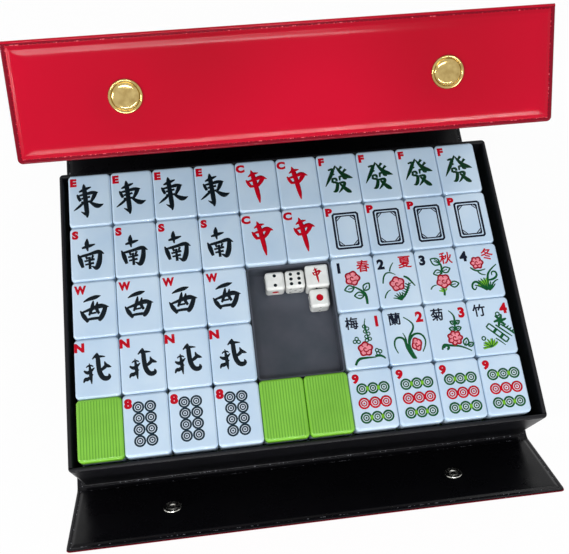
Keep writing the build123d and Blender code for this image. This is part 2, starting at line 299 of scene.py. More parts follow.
def vary_gloss(made, source, low, high):
    plug(made, between(made, source, low, high), shader_of(made).inputs["Roughness"])


def relief(made, source, depth, under=None):
    """Bump of that depth in mm, over another bump where one is given."""
    bump = node(made, "ShaderNodeBump", Strength=1.0, Distance=depth * MM, Height=source)
    if under:
        plug(made, under.outputs["Normal"], bump.inputs["Normal"])
    plug(made, bump.outputs["Normal"], shader_of(made).inputs["Normal"])
    return bump


def surface(name, tint, gloss, tones, rubbed, skin, **look):
    """A finish with uneven tone, gloss and relief. Each of these starts with its noise's size and detail."""
    made = finish(name, colour(*tint), gloss, **look)
    size, detail, one, other = tones
    vary_tone(made, grain(made, size, detail), colour(*one), colour(*other))
    if rubbed:
        size, detail, low, high = rubbed
        vary_gloss(made, grain(made, size, detail), low, high)
    size, detail, depth = skin
    relief(made, grain(made, size, detail), depth)
    return made


print("noise of 1 mm has the scale", round(1 / MM))

# %% [markdown]
# ### Vinyl
# The cover is thin plasticised vinyl with a wet shine. Its red is deep, and its shine blurs a little where
# the sheet is handled. Its tone drifts slowly over the sheet, partly at random and partly as a painted reflection
# of the room. A weld runs round each panel, pressed by a hot bar into short dashes. The margin outside it and
# the dashes take a painted shading tone: on the red sheet it is darker, as painted shade along the edge and in the
# dashes, and on the black sheet it is a little lighter. Pale specks on the dashes are painted glints. Both follow
# the edge, so they read the sheet's own seam map, which says how far along the edge and how far in from it a
# point is, in millimetres.

# %% Vinyl finishes
DASH_PITCH = 1.9
DASH_SHARE = 0.8
DASH_DEPTH = 0.12
WELD_FROM, WELD_TO = 1.6, 1.95  # mm in from the edge
# the pale specks on the weld dashes are painted glints
GLINT_LEVEL = 0.6  # noise above it is a pale speck
VINYL_SPECULAR = 0.13


def weld_dashes(made):
    """1 on the pressed dashes of the weld, and 1 on the margin outside them, from the seam map."""
    along_edge, from_edge, _ = parts(made, node(made, "ShaderNodeUVMap", uv_map="seam").outputs["UV"])
    dash = calc(made, "LESS_THAN", calc(made, "FRACT", calc(made, "DIVIDE", along_edge, DASH_PITCH)), DASH_SHARE)
    past_margin = calc(made, "GREATER_THAN", from_edge, WELD_FROM)
    band = calc(made, "MULTIPLY", past_margin, calc(made, "LESS_THAN", from_edge, WELD_TO))
    return calc(made, "MULTIPLY", band, dash), calc(made, "LESS_THAN", from_edge, WELD_FROM)


def vinyl(name, tint, deep, weld_shading_tone, glint_tone, gloss):
    """Shiny sheet: a slow tone drift that is partly painted reflection, a weld margin and dashes in a painted shading
    tone, pale specks on the dashes as painted glints, rubbed gloss and a fine skin.
    """
    tint, deep, weld_shading_tone, glint_tone = (colour(*shade) for shade in (tint, deep, weld_shading_tone, glint_tone))
    made = finish(name, tint, gloss, specular=VINYL_SPECULAR)
    # the slow drift towards the deeper tone is partly random tone and partly a painted reflection of the room
    tone = vary_tone(made, grain(made, 85, 0.5), tint, deep)
    dashes, margin = weld_dashes(made)
    # painted glints: pale specks on the dashes where the fine noise is high
    glint_specks = calc(made, "GREATER_THAN", grain(made, 1.6, 2), GLINT_LEVEL)
    # painted shade: the margin outside the weld and the pressed dashes take the weld's shading tone, darker on the red
    # sheet
    sheet_tone = mixed(made, margin, tone, weld_shading_tone)
    tint_with(made, mixed(made, dashes, sheet_tone, mixed(made, glint_specks, weld_shading_tone, glint_tone)))
    vary_gloss(made, grain(made, 14), gloss * 0.8, gloss * 1.4)
    skin = relief(made, grain(made, 0.8, 2), 0.006)
    relief(made, dashes, DASH_DEPTH, skin).invert = True
    return made


# tones: the sheet, its slow drift (partly painted reflection), the weld's painted shading (painted shade on the red
# sheet) and the painted glints
red_vinyl = vinyl("red_vinyl", (192, 0, 38), (166, 0, 26), (124, 0, 26), (226, 100, 112), 0.13)
black_vinyl = vinyl("black_vinyl", (16, 15, 18), (10, 10, 13), (22, 21, 25), (150, 150, 156), 0.26)
print("dashes per metre of weld:", round(1000 / DASH_PITCH))

# %% [markdown]
# ### Tiles
# Cheap travelling tiles are two slabs of melamine pressed together: a white face and a lime back. The face's
# cool blue cast is partly its own and partly a painted reflection of a bluish surrounding. White melamine lets
# a little light in, so its edges glow. The lime back is moulded with fine ribs, sixteen to a tile, with their
# grooves painted darker as painted shade. Only the flat of the back has them, so the ribs are kept off the
# rounded edge by asking which way the surface looks.

# %% Tile finishes
COLUMNS, ROWS = 10, 5
TILE_GAP = 0.2 * MM
low_tiles, high_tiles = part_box("lower_layer_faces")
TILE_WIDTH = (high_tiles.x - low_tiles.x + TILE_GAP) / COLUMNS - TILE_GAP
PITCH_X = TILE_WIDTH + TILE_GAP
PITCH_Y = (high_tiles.y - low_tiles.y + TILE_GAP) / ROWS
TILE_LENGTH = PITCH_Y - TILE_GAP
TILE_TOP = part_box("east_tiles")[1].z
RIBS = 16
RIB_DEPTH = 0.12
RIB_FROM = 0.2  # where on its wave a groove begins
LEVEL = 0.99  # the upward part of a normal that counts as flat

# the face's cool blue cast is partly its own and partly a painted reflection of a bluish surrounding
tile_white = surface("tile_white", (206, 226, 244), 0.12, (24, 3, (208, 227, 243), (192, 215, 236)),
                     (9, 3, 0.07, 0.13), (1.5, 2, 0.004))
for key, value in (("Weight", 0.12), ("Radius", (1.0, 0.9, 0.8)), ("Scale", 1.2 * MM)):
    shader_of(tile_white).inputs[f"Subsurface {key}"].default_value = value


def ribbed(name, tint, other, groove_shade):
    """Lime back with ribs that run the tile's length; the grooves take a darker tone as painted shade."""
    made = finish(name, tint, 0.14, specular=0.4)
    across = calc(made, "SUBTRACT", parts(made, node(made, "ShaderNodeTexCoord").outputs["Object"])["X"], low_tiles.x)
    wave = calc(made, "SINE", calc(made, "MULTIPLY", across, 2 * pi * RIBS / PITCH_X))
    upward = parts(made, node(made, "ShaderNodeNewGeometry").outputs["True Normal"])["Z"]
    line = node(made, "ShaderNodeMapRange", Value=wave, From_Min=RIB_FROM, From_Max=1.0).outputs["Result"]
    shown = calc(made, "MULTIPLY", line, calc(made, "GREATER_THAN", upward, LEVEL))
    # painted shade: the rib grooves take a darker tone
    tint_with(made, mixed(made, shown, vary_tone(made, grain(made, 20), tint, other), groove_shade))
    relief(made, shown, RIB_DEPTH).invert = True
    return made


# the last tone is the painted shade in the rib grooves
tile_lime = ribbed("tile_lime", colour(134, 204, 62), colour(120, 186, 50), colour(92, 160, 34))
print("tile, mm:", round(TILE_WIDTH / MM, 2), "by", round(TILE_LENGTH / MM, 2), "pitch", round(PITCH_Y / MM, 2))

# %% [markdown]
# ### Plastics, dice and metal
# The tray and the little dice tray are thin moulded plastic with a fine matte skin that collects a few
# lighter scuffs. The dice are cream. The caps are brass plated, the rings inside are nickel steel. Fine
# blotches of gloss keep the metal from looking like a mirror.

# %% Plastics and metals
tray_black = surface("tray_black", (16, 16, 19), 0.34, (18, 3, (15, 15, 18), (20, 20, 24)),
                     (12, 2, 0.32, 0.42), (0.9, 3, 0.01), specular=0.2)
dice_tray_grey = surface("dice_tray_grey", (66, 72, 80), 0.4, (16, 3, (64, 71, 80), (82, 84, 94)),
                         (5, 3, 0.3, 0.5), (0.6, 4, 0.02), specular=0.3)
dice_white = surface("dice_white", (238, 238, 234), 0.2, (5, 3, (240, 240, 236), (226, 227, 222)),
                     None, (1.2, 2, 0.004), coat=0.5)
cardboard = surface("cardboard", (150, 142, 128), 0.85, (1.2, 5, (156, 148, 132), (132, 124, 108)),
                    None, (0.5, 4, 0.03))
brass = surface("brass", (196, 172, 112), 0.12, (3, 3, (200, 176, 116), (172, 146, 90)),
                (2, 4, 0.07, 0.18), (0.5, 3, 0.006), metal=1.0)
nickel = surface("nickel", (216, 216, 210), 0.22, (2, 3, (222, 222, 216), (180, 178, 168)),
                 (1.5, 4, 0.16, 0.34), (0.4, 3, 0.006), metal=1.0)
INK_TONES = {
    "red": (204, 0, 30), "black": (10, 22, 30), "navy": (12, 20, 40), "teal": (22, 46, 58), "green": (12, 88, 44),
    "pine": (8, 54, 28), "crimson": (168, 0, 34), "lime": (120, 190, 40), "pink": (252, 152, 164),
    "paper": (214, 226, 238),
}
INK_SHADE = 0.72  # how much darker its dark parts are


def ink(name, tint):
    """Paint in a shallow engraving: slightly uneven and less shiny than the tile."""
    made = finish(name, tint, 0.5, specular=0.12)
    dark = tuple(INK_SHADE * value for value in tint[:3]) + (1.0,)
    vary_tone(made, grain(made, 1.6, 4), tint, dark)
    relief(made, grain(made, 0.4, 3), 0.01)
    return made


INKS = {name: ink(f"{name}_ink", colour(*tone)) for name, tone in INK_TONES.items()}
print("inks:", sorted(INKS))

# %% [markdown]
# ## Finishes on the measured pieces
# The tiles, the tray, the dice and the boards keep their shapes from the frame, so each only needs its
# finish in its material slot. Flat faces with rounded edges shade best by angle, but the frame's meshes are
# left alone, and they already carry their own smooth normals.

# %% Dress the frame's nodes
TOP_KINDS = ("east", "south", "west", "north", "red_dragon", "green_dragon", "white_dragon", "season", "flower",
             "eight_circle", "nine_circle")
PANEL_NAMES = ("bottom_panel", "back_panel", "lid", "snap_flap", "front_flap")
DRESSED = (
    (tile_white, [f"{kind}_tiles" for kind in TOP_KINDS]
     + ["face_down_tile_faces", "lower_layer_faces", "middle_layer_faces"]),
    (tile_lime, [f"{side}_tile_backs" for side in ("rear", "left", "right", "front", "face_down")]
     + ["lower_layer_backs", "middle_layer_backs"]),
    (tray_black, [f"tray_{wall}" for wall in ("floor", "back_wall", "front_wall", "left_wall", "right_wall")]),
    (cardboard, [f"{panel}_board" for panel in PANEL_NAMES]),
    (dice_tray_grey, ["dice_tray"]),
    (dice_white, ["die_two", "die_six", "die_one", "wind_die"]),
)
for made, names in DRESSED:
    for name in names:
        for place in nodes[name].material_slots:
            place.link = "OBJECT"
            place.material = made
print("nodes dressed:", sum(len(names) for made, names in DRESSED))

# %% [markdown]
# ## Markings
# The symbols are cut into the tile and filled with paint by hand, so they look brushed. A real engraving is
# too shallow to see, but its paint lies as a low mound, which is easier to make: each brush stroke is a
# curve whose bevel swells and thins like a brush pressed on paper. The strokes are made a mesh and then
# pressed nearly flat. Printed letters come from Blender's own text, thickened by a bevel.
# A drawing is laid out in millimetres about the middle of a tile.

# %% Paint helpers
PAINT = 0.05 * MM  # height of the paint mound
LOW_PAINT, HIGH_PAINT = 0.4 * PAINT, 0.7 * PAINT  # grounds that other paint lies on


def pressed(piece, ink_name, rise=PAINT):
    """Press a mesh nearly flat onto the tile top, so that only its upper half shows, and give it its ink."""
    heights = [vertex.co.z for vertex in piece.data.vertices]
    top = max(max(heights), 1e-9)
    for vertex in piece.data.vertices:
        vertex.co.z = vertex.co.z / top * rise
    piece.data.materials.clear()
    piece.data.materials.append(INKS[ink_name])
    for face in piece.data.polygons:
        face.use_smooth = True
    return piece


def strokes(ink_name, lines, centre=(0, 0), closed=False, sharp=False, steps=4, rise=PAINT):
    """Brush strokes through points (x, y, width), in millimetres about the centre."""
    curve = bpy.data.curves.new("strokes", "CURVE")
    curve.dimensions = "3D"
    curve.bevel_depth = 0.5 * MM
    curve.bevel_resolution = 1
    curve.use_fill_caps = not closed
    for line in lines:
        spline = curve.splines.new("POLY" if sharp else "NURBS")
        spline.points.add(len(line) - 1)
        for point, (x, y, width) in zip(spline.points, line):
            point.co = ((centre[0] + x) * MM, (centre[1] + y) * MM, 0, 1)
            point.radius = width
        if not sharp:
            spline.order_u = 3
            spline.use_endpoint_u = not closed
            spline.resolution_u = steps
        spline.use_cyclic_u = closed
    select_only(placed("strokes", curve))
    bpy.ops.object.convert(target="MESH")
    return pressed(bpy.context.object, ink_name, rise)


def letter(ink_name, text, x, y, height, weight, width=1.0):
    """A printed letter of that height, centred on (x, y); a bevel of that weight thickens its lines."""
    bpy.ops.object.text_add()
    piece = bpy.context.object
    piece.data.body = text
    piece.data.bevel_depth = weight
    piece.data.bevel_resolution = 0
    piece.data.resolution_u = 4
    select_only(piece)
    bpy.ops.object.convert(target="MESH")
    piece = bpy.context.object
    xs = [vertex.co.x for vertex in piece.data.vertices]
    ys = [vertex.co.y for vertex in piece.data.vertices]
    size = height * MM / (max(ys) - min(ys))
    middle = Vector(((max(xs) + min(xs)) / 2, (max(ys) + min(ys)) / 2, 0))
    for vertex in piece.data.vertices:
        moved = (vertex.co - middle) * size
        vertex.co = (moved.x * width + x * MM, moved.y + y * MM, vertex.co.z)
    pressed(piece, ink_name)
    for face in piece.data.polygons:
        face.use_smooth = False
    return piece


def ring(ink_name, x, y, radius, width, sides, rise=PAINT):
    """A painted ring: a thin doughnut pressed flat."""
    bpy.ops.mesh.primitive_torus_add(major_radius=radius * MM, minor_radius=width / 2 * MM, major_segments=sides,
                                     minor_segments=6, location=(0, 0, 0))
    piece = bpy.context.object
    piece.location = (x * MM, y * MM, 0)
    return pressed(settle(piece), ink_name, rise)


def spot(ink_name, x, y, radius, sides=20, stretch=1.0, rise=PAINT):
    """A painted dot: a ball pressed flat."""
    bpy.ops.mesh.primitive_uv_sphere_add(radius=radius * MM, segments=sides, ring_count=6, location=(0, 0, 0))
    piece = bpy.context.object
    piece.scale = (1, stretch, 1)
    piece.location = (x * MM, y * MM, 0)
    return pressed(settle(piece), ink_name, rise)


def tile_centre(column, row):
    """The middle of a tile's top, columns from the left and rows from the back."""
    x = low_tiles.x + TILE_WIDTH / 2 + (column - 1) * PITCH_X
    y = high_tiles.y - TILE_LENGTH / 2 - (row - 1) * PITCH_Y
    return Vector((x, y, TILE_TOP))


def copied(piece, place):
    twin = placed(piece.name, piece.data.copy())
    twin.data.transform(Matrix.Translation(place))
    return twin


def mark_tiles(name, drawing, places):
    """Paint one drawing on several tiles, as one piece that rides with the top layer."""
    pattern = joined(drawing, name)
    copies = [copied(pattern, place) for place in places]
    bpy.data.objects.remove(pattern)
    piece = joined(copies, name)
    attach(piece, "top_layer")
    print(name, "faces:", len(piece.data.polygons))
    return piece


INDEX_AT = (-8.2, 10.5)  # the red letter in the corner of a tile
INDEX_HEIGHT = 4.7
INDEX_WEIGHT = 0.07


def index(text, at=INDEX_AT, height=INDEX_HEIGHT, width=1.12):
    return letter("red", text, *at, height, INDEX_WEIGHT, width)


print("paint stands", round(PAINT / MM, 2), "mm over the tile")

# %% [markdown]
# ### Winds and dragons
# East, south, west and north are brushed in black, the red dragon in red and the green dragon in dark
# green. Each character is a list of strokes in a square of 100 by 100, in writing order, with the width of
# the brush at each point. The white dragon is a double frame with a fan in each corner.

# %% Brushed characters
EAST = [
    [(19, 78, 2), (30, 82, 6), (50, 88, 5), (61, 91, 2)],
    [(36, 101, 1.5), (37, 92, 8), (40, 63, 7), (43, 25, 8), (45, 8, 6), (44, 0, 2)],
    [(46, 8, 6), (36, 12, 5), (24, 19, 1)],
    [(12, 71, 2), (17, 62, 7), (23, 50, 4)],
    [(13, 66, 3), (45, 71, 5), (70, 75, 7), (85, 73, 1)],
    [(75, 73, 7), (69, 58, 7), (56, 43, 3)],
    [(26, 57, 3.5), (57, 62, 4)],
    [(25, 46, 4), (60, 48, 4)],
    [(37, 48, 3), (21, 35, 7), (-1, 23, 1)],
    [(50, 50, 2), (69, 37, 7), (82, 32, 9), (93, 34, 5), (102, 37, 0.8)],
]
SOUTH = [
    [(39, 101, 1.5), (37, 89, 9), (37, 76, 7), (40, 60, 2)],
    [(17, 71, 3), (30, 74, 6), (52, 78, 7), (69, 81, 2)],
    [(1, 52, 2), (8, 38, 8), (13, 25, 8), (19, 8, 5)],
    [(3, 43, 3), (20, 46, 5.5), (48, 50, 5.5), (80, 57, 8), (92, 53, 6), (103, 47, 1)],
    [(87, 52, 7), (86, 30, 9), (76, 8, 9.5), (70, 2, 7), (60, 8, 4), (50, 12, 1)],
    [(32, 44, 4), (37, 34, 4.5)],
    [(60, 46, 4.5), (54, 35, 3.5)],
    [(25, 28, 3.5), (65, 33, 4.5)],
    [(28, 17, 3.5), (62, 21, 4.5)],
    [(45, 42, 4.5), (46, 2, 5)],
]
WEST = [
    [(12, 77, 2), (28, 86, 7), (54, 92, 9), (66, 95, 6), (76, 97, 1)],
    [(0, 45, 2), (9, 28, 8.5), (17, 14, 8.5), (27, -1, 5)],
    [(2, 36, 3.5), (36, 47, 6.5), (70, 58, 10), (88, 55, 8), (104, 51, 1)],
    [(91, 52, 8), (84, 28, 9.5), (70, 6, 9.5), (66, 0, 4)],
    [(26, 9, 5), (46, 12, 6), (68, 11, 6)],
    [(48, 80, 2), (46, 66, 7), (40, 45, 7), (31, 24, 4)],
    [(63, 74, 2), (60, 60, 7), (58, 42, 6.5), (68, 28, 5)],
    [(38, 31, 4), (58, 33, 4)],
]
NORTH = [
    [(34, 82, 2), (44, 90, 6), (53, 102, 2)],
    [(44, 88, 5), (62, 90, 6.5), (83, 87, 1.5)],
    [(53, 102, 1.5), (55, 90, 8.5), (56, 58, 8.5), (60, 32, 9), (72, 14, 9), (88, 12, 9), (98, 20, 7), (93, 28, 1.5)],
    [(80, 71, 1.5), (82, 58, 7), (96, 52, 6), (105, 50, 1)],
    [(84, 55, 7), (74, 46, 7), (60, 40, 4)],
    [(10, 55, 2), (22, 67, 5), (37, 57, 2)],
    [(22, 69, 1.5), (25, 45, 7), (27, 18, 6.5), (29, -1, 1.5)],
    [(1, 45, 3), (12, 36, 7), (26, 40, 7), (41, 53, 2)],
    [(-1, 5, 2), (4, 18, 7), (16, 14, 8), (35, 31, 2)],
]
RED_DRAGON = [
    [(28, 102, 1.5), (34, 91, 9), (42, 66, 9), (50, 34, 9), (55, 12, 7), (57, -2, 1.5)],
    [(11, 81, 1.5), (26, 88, 6.5), (46, 91, 6), (64, 92, 1.5)],
    [(-1, 72, 2), (8, 62, 9), (20, 50, 5)],
    [(2, 66, 3), (35, 70, 6), (70, 78, 8.5), (86, 76, 7.5), (105, 71, 1)],
    [(84, 75, 8), (72, 62, 9), (52, 49, 4)],
    [(15, 51, 5), (40, 51, 6), (62, 54, 5)],
]
GREEN_DRAGON = [
    [(16, 86, 3), (38, 93, 6), (28, 72, 7), (14, 50, 6), (-1, 27, 1)],
    [(25, 80, 4.5), (37, 68, 3.5)],
    [(45, 102, 2), (42, 92, 6), (32, 80, 2)],
    [(47, 98, 2), (58, 78, 6.5), (76, 62, 9), (90, 57, 7.5), (104, 52, 1)],
    [(68, 97, 5.5), (56, 84, 3)],
    [(82, 86, 5.5), (68, 73, 3)],
    [(26, 53, 3.5), (46, 59, 5), (42, 45, 4.5)],
    [(27, 41, 3.5), (46, 43, 5.5), (42, 20, 6.5), (34, 6, 6.5), (24, 8, 1)],
    [(28, 54, 4), (27, 40, 4.5)],
    [(56, 62, 4.5), (54, 46, 3)],
    [(55, 60, 3.5), (71, 63, 5), (69, 50, 4.5), (82, 51, 3)],
    [(49, 37, 3.5), (76, 43, 5.5), (64, 20, 6.5), (45, 3, 1.5)],
    [(54, 34, 3.5), (70, 16, 7.5), (84, 4, 9), (92, 1, 2)],
]
BRUSH = 1.95  # how much fuller the brush is than the lines as listed


def character(ink_name, lines, width, height, x=0.0, y=0.0):
    """Strokes from a 100 by 100 square, fitted to a width and a height in millimetres about (x, y)."""
    full = BRUSH * (width + height) / 2
    fitted = [[((u - 50) / 100 * width, (v - 50) / 100 * height, w / 100 * full) for u, v, w in line] for line in lines]
    return strokes(ink_name, fitted, centre=(x, y))


def row_of(first, last, *rows):
    return [tile_centre(column, row) for row in rows for column in range(first, last + 1)]


CHARACTERS = (  # name, letter, ink, strokes, width, height, x, y, and the columns and rows of its tiles
    ("east", "E", "black", EAST, 15.0, 19.2, -0.8, -0.4, (1, 4, 1)),
    ("south", "S", "black", SOUTH, 13.0, 17.0, -0.8, -0.5, (1, 4, 2)),
    ("west", "W", "black", WEST, 13.6, 13.6, -0.2, 0.3, (1, 4, 3)),
    ("north", "N", "black", NORTH, 12.8, 14.8, -0.1, -0.4, (1, 4, 4)),
    ("red_dragon", "C", "red", RED_DRAGON, 10.6, 18.8, -0.3, -0.5, (5, 6, 1, 2)),
    ("green_dragon", "F", "pine", GREEN_DRAGON, 14.6, 16.4, -0.3, -0.7, (7, 10, 1)),
)
for name, text, ink_name, lines, width, height, x, y, tiles in CHARACTERS:
    corner = index(text, at=(-6.7, 10.4), width=0.86) if text == "W" else index(text)
    mark_tiles(f"{name}_marks", [corner, character(ink_name, lines, width, height, x, y)], row_of(*tiles))

# %% White dragon
FRAME_WIDTH, FRAME_LENGTH = 14.2, 20.8
FRAME_AT = (0.1, -0.6)
FAN_INSET = 2.1


def frame_line(inset, width, corner):
    """A closed rectangle with cut corners, inset from the frame's outer size."""
    half_x, half_y = FRAME_WIDTH / 2 - inset, FRAME_LENGTH / 2 - inset
    outline = [(half_x - corner, half_y), (-half_x + corner, half_y), (-half_x, half_y - corner),
               (-half_x, -half_y + corner), (-half_x + corner, -half_y), (half_x - corner, -half_y),
               (half_x, -half_y + corner), (half_x, half_y - corner)]
    return strokes("navy", [[(x, y, width) for x, y in outline]], centre=FRAME_AT, closed=True, sharp=True)


def corner_fan(side_x, side_y):
    """The little fan in a corner of the frame: a slope across it over a filled bend."""
    x, y = side_x * (FRAME_WIDTH / 2 - FAN_INSET), side_y * (FRAME_LENGTH / 2 - FAN_INSET)
    slope = ((2.6, 0, 0.5), (0, 2.6, 0.5))
    bend = ((1.5, 0.1, 0.7), (0.3, 0.3, 1.0), (0.1, 1.5, 0.7))
    return [[(x - side_x * u, y - side_y * v, width) for u, v, width in line] for line in (slope, bend)]


fans = [line for side_x in (-1, 1) for side_y in (-1, 1) for line in corner_fan(side_x, side_y)]
mark_tiles("white_dragon_marks",
           [index("P"), frame_line(0.5, 1.2, 0.8), frame_line(1.95, 0.75, 0.5),
            strokes("navy", fans, centre=FRAME_AT, sharp=True)], row_of(7, 10, 2))

# %% [markdown]
# ### Circles
# The circle suit stands for coins. Each coin is a dark disc with a pale one on it, a ring and a dot. The
# eight has two columns of dark coins. The nine has rows of green, red and green ones, with a drop of lime
# or red paint where two coins of a row touch.

# %% Circles
EIGHT_PITCH = (5.75, 5.4)
EIGHT_AT = (-0.6, 0.3)
NINE_PITCH = (5.45, 7.1)
NINE_AT = (0.5, -1.9)


def coin(ink_name, x, y, radius):
    return [spot(ink_name, x, y, radius, rise=LOW_PAINT),
            spot("paper", x, y, radius * 0.74, rise=0.9 * PAINT),
            ring(ink_name, x, y, radius * 0.44, radius * 0.29, 20, 1.4 * PAINT),
            spot(ink_name, x, y, radius * 0.2, 10, rise=1.6 * PAINT)]


def coins(ink_name, places, radius):
    return [piece for x, y in places for piece in coin(ink_name, x, y, radius)]


eight_places = [(EIGHT_AT[0] + side * EIGHT_PITCH[0] / 2, EIGHT_AT[1] + (row - 1.5) * EIGHT_PITCH[1])
                for side in (-1, 1) for row in range(4)]
mark_tiles("eight_circle_marks", [index("8", at=(-8.2, 10.4), height=5.0)] + coins("teal", eight_places, 2.85),
           row_of(2, 4, 5))

nine = [index("9", at=(-7.5, 10.4), height=4.9)]
for row, ink_name, drop in ((1, "green", "lime"), (0, "red", "red"), (-1, "green", "lime")):
    y = NINE_AT[1] + row * NINE_PITCH[1]
    nine += [spot(drop, NINE_AT[0] + side * NINE_PITCH[0] / 2, y, 1.25, 12, rise=LOW_PAINT) for side in (-1, 1)]
    nine += coins(ink_name, [(NINE_AT[0] + column * NINE_PITCH[0], y) for column in (-1, 0, 1)], 2.9)
mark_tiles("nine_circle_marks", nine, row_of(7, 10, 5))

# %% [markdown]
# ### Seasons and flowers
# The eight bonus tiles carry a number, a small character and a plant. The plants here are this lesson's
# own, drawn from a few simple parts: a bloom is a ring of petals round a spiral over a pale pink ground, a
# leaf is a pointed loop with a rib, and stems and grass are single strokes that taper.

# %% Plant parts
LINE = 0.9  # width of a painted line, mm
LEAF = ((0, 0), (0.25, 0.324), (0.6, 0.36), (1, 0.04), (1, -0.04), (0.6, -0.36), (0.25, -0.324), (0, 0))


def bloom(x, y, radius, petals, turn=0.0, tall=1.0):
    """A blossom: pale ground, a scalloped outline, petal lines and a spiral heart."""

    def at(reach, angle, width):
        return (x + radius * reach * cos(angle + turn), y + tall * radius * reach * sin(angle + turn), width)

    turns = [2 * pi * step / (petals * 6) for step in range(petals * 6)]
    edge = [at(1 + 0.12 * cos(petals * t), t, LINE) for t in turns]
    heart = [at(0.08 + 0.08 * t, t, LINE * 0.85) for t in (0.7 * step for step in range(9))]
    folds = [[at(0.5, t, LINE * 0.6), at(0.75, t + 0.1, LINE * 0.8), at(1.0, t + 0.12, LINE * 0.8)]
             for t in (2 * pi * (step + 0.5) / petals for step in range(petals))]
    return [spot("pink", x, y, radius * 0.98, stretch=tall, rise=LOW_PAINT),
            strokes("crimson", [edge], closed=True, steps=2), strokes("crimson", [heart] + folds, steps=3)]


def leaf(x, y, length, turn):
    """A pointed leaf outline with its rib, from its stalk at (x, y); turn in degrees."""
    c, s = length * cos(radians(turn)), length * sin(radians(turn))
    outline = [(x + u * c - v * s, y + u * s + v * c, LINE * 0.9) for u, v in LEAF]
    return [outline, [(x + u * c, y + u * s, LINE * 0.6) for u in (0, 0.35, 0.65)]]


def blade(thick, *points):
    """A stroke that tapers a little at its foot and runs out at its tip."""
    last = len(points) - 1
    return [(x, y, thick * (0.7 if step == 0 else 1 - 0.6 * (step / last) ** 2)) for step, (x, y) in enumerate(points)]


def blades(*rows):
    return [blade(*row) for row in rows]


def curl(x, y, radius, side, width):
    """A small tendril."""
    return [(x + side * radius * (1 - t / 9) * cos(t), y + radius * (1 - t / 9) * sin(t), LINE * width)
            for t in (0.6 * step for step in range(9))]


def tuft(x, y, reach, first, last, count, thick):
    """Short blades that fan out from one point, from the first to the last angle in degrees."""
    fan = [radians(first + (last - first) * step / (count - 1)) for step in range(count)]
    return [blade(thick, (x, y), (x + 0.6 * reach * cos(t), y + 0.6 * reach * sin(t)),
                  (x + reach * cos(t + 0.2), y + reach * sin(t + 0.2))) for t in fan]


def bent(t, start, middle, end):
    """The point at t, from 0 to 1, of the smooth bend from start to end that leans towards the middle one."""
    return tuple((1 - t) ** 2 * a + 2 * t * (1 - t) * b + t ** 2 * c for a, b, c in zip(start, middle, end))


def fern(points, barb, count, thick):
    """A bent spine between three points with short barbs on both sides."""
    found = [blade(thick, *points)]
    for step in range(1, count):
        x, y = bent(step / count, *points)
        found += [[(x, y, thick * 0.8), (x + side * barb, y + barb * 0.7, thick * 0.35)] for side in (-1, 1)]
    return found


def bonus(name, number, number_ink, symbol, symbol_ink, number_side, plant, place):
    """A bonus tile: its number and character in the upper corners over a plant."""
    return mark_tiles(name, [letter(number_ink, number, number_side * 7.5, 8.8, 5.7, 0.06),
                             letter(symbol_ink, symbol, -number_side * 5.2, 8.9, 6.6, 0.024)] + plant, [place])


# %% The four seasons
spring = bloom(-1.2, 2.7, 3.5, 5) + [
    strokes("green", blades((1.7, (4.5, -11.8), (4.8, -7.6), (3.2, -4.4), (-1.5, -1.6)))
            + leaf(-1.0, -2.4, 5.0, 190) + leaf(3.8, -4.4, 4.8, 50) + leaf(3.6, -6.8, 5.0, 180))]
summer = bloom(-0.5, -2.6, 3.5, 5, 0.5) + [
    strokes("green", blades((1.0, (-7.8, -1.8), (-7.2, 2.6), (-3.6, 4.6), (-0.6, 2.4)),
                            (1.0, (-3.4, 4.4), (-3.0, 6.8), (-0.8, 9.2)),
                            (1.4, (3.4, 1.2), (5.4, 0.2), (6.6, -1.6), (8.6, -4.6)),
                            (1.0, (-8.0, -9.8), (-7.0, -6.2), (-4.4, -5.6)))
            + fern([(0.2, -11.6), (3.6, -8.2), (5.6, -2.4)], 1.7, 8, 1.1) + tuft(0.2, -11.4, 4.2, 40, 150, 6, 1.1))]
autumn = bloom(1.8, -3.6, 3.4, 5, 0.9) + [
    strokes("green", blades((1.2, (1.4, 0.2), (2.2, 4.0), (1.6, 6.6), (-1.0, 8.8)),
                            (1.6, (0.8, -11.4), (1.6, -8.8), (0.4, -6.8)),
                            (1.0, (-5.6, -7.6), (-4.8, -5.4), (-2.0, -5.4)))
            + leaf(1.6, 5.8, 5.6, 145) + leaf(1.6, 1.6, 4.4, 190) + leaf(1.8, 1.8, 4.6, 15) + leaf(4.8, -6.0, 4.6, 5)),
    strokes("lime", tuft(0.8, -9.4, 2.6, 30, 150, 4, 1.2), rise=HIGH_PAINT)]
winter = bloom(-1.0, 4.6, 3.0, 6) + [
    strokes("lime", tuft(1.8, -9.0, 4.8, 60, 150, 7, 1.5), rise=HIGH_PAINT),
    strokes("green", blades((1.4, (2.2, -10.6), (2.8, -4.4), (4.2, -0.4), (9.0, 2.8)),
                            (1.2, (-5.0, 2.4), (-3.2, 0.4), (0.0, 0.0), (2.8, 0.8)),
                            (1.1, (-1.4, -0.2), (-0.4, -2.2), (2.4, -2.4)),
                            (1.2, (3.6, -10.4), (5.4, -6.0), (8.4, -5.6)),
                            (1.3, (2.6, -5.4), (5.2, -5.6), (8.4, -3.6), (7.8, -0.8), (5.2, -1.2), (5.6, -3.0)),
                            (1.3, (0.8, -9.6), (-2.4, -5.4), (-5.4, -6.0), (-6.2, -9.0), (-4.4, -10.4), (-3.6, -8.4)))
            + tuft(1.6, -10.8, 7.0, 84, 140, 5, 1.3) + tuft(2.6, -11.0, 5.0, 30, 76, 4, 1.2))]
for step, (plant, symbol) in enumerate(((spring, "春"), (summer, "夏"), (autumn, "秋"), (winter, "冬"))):
    bonus(f"season_{step + 1}_marks", str(step + 1), "navy", symbol, "red", -1, plant, tile_centre(7 + step, 3))

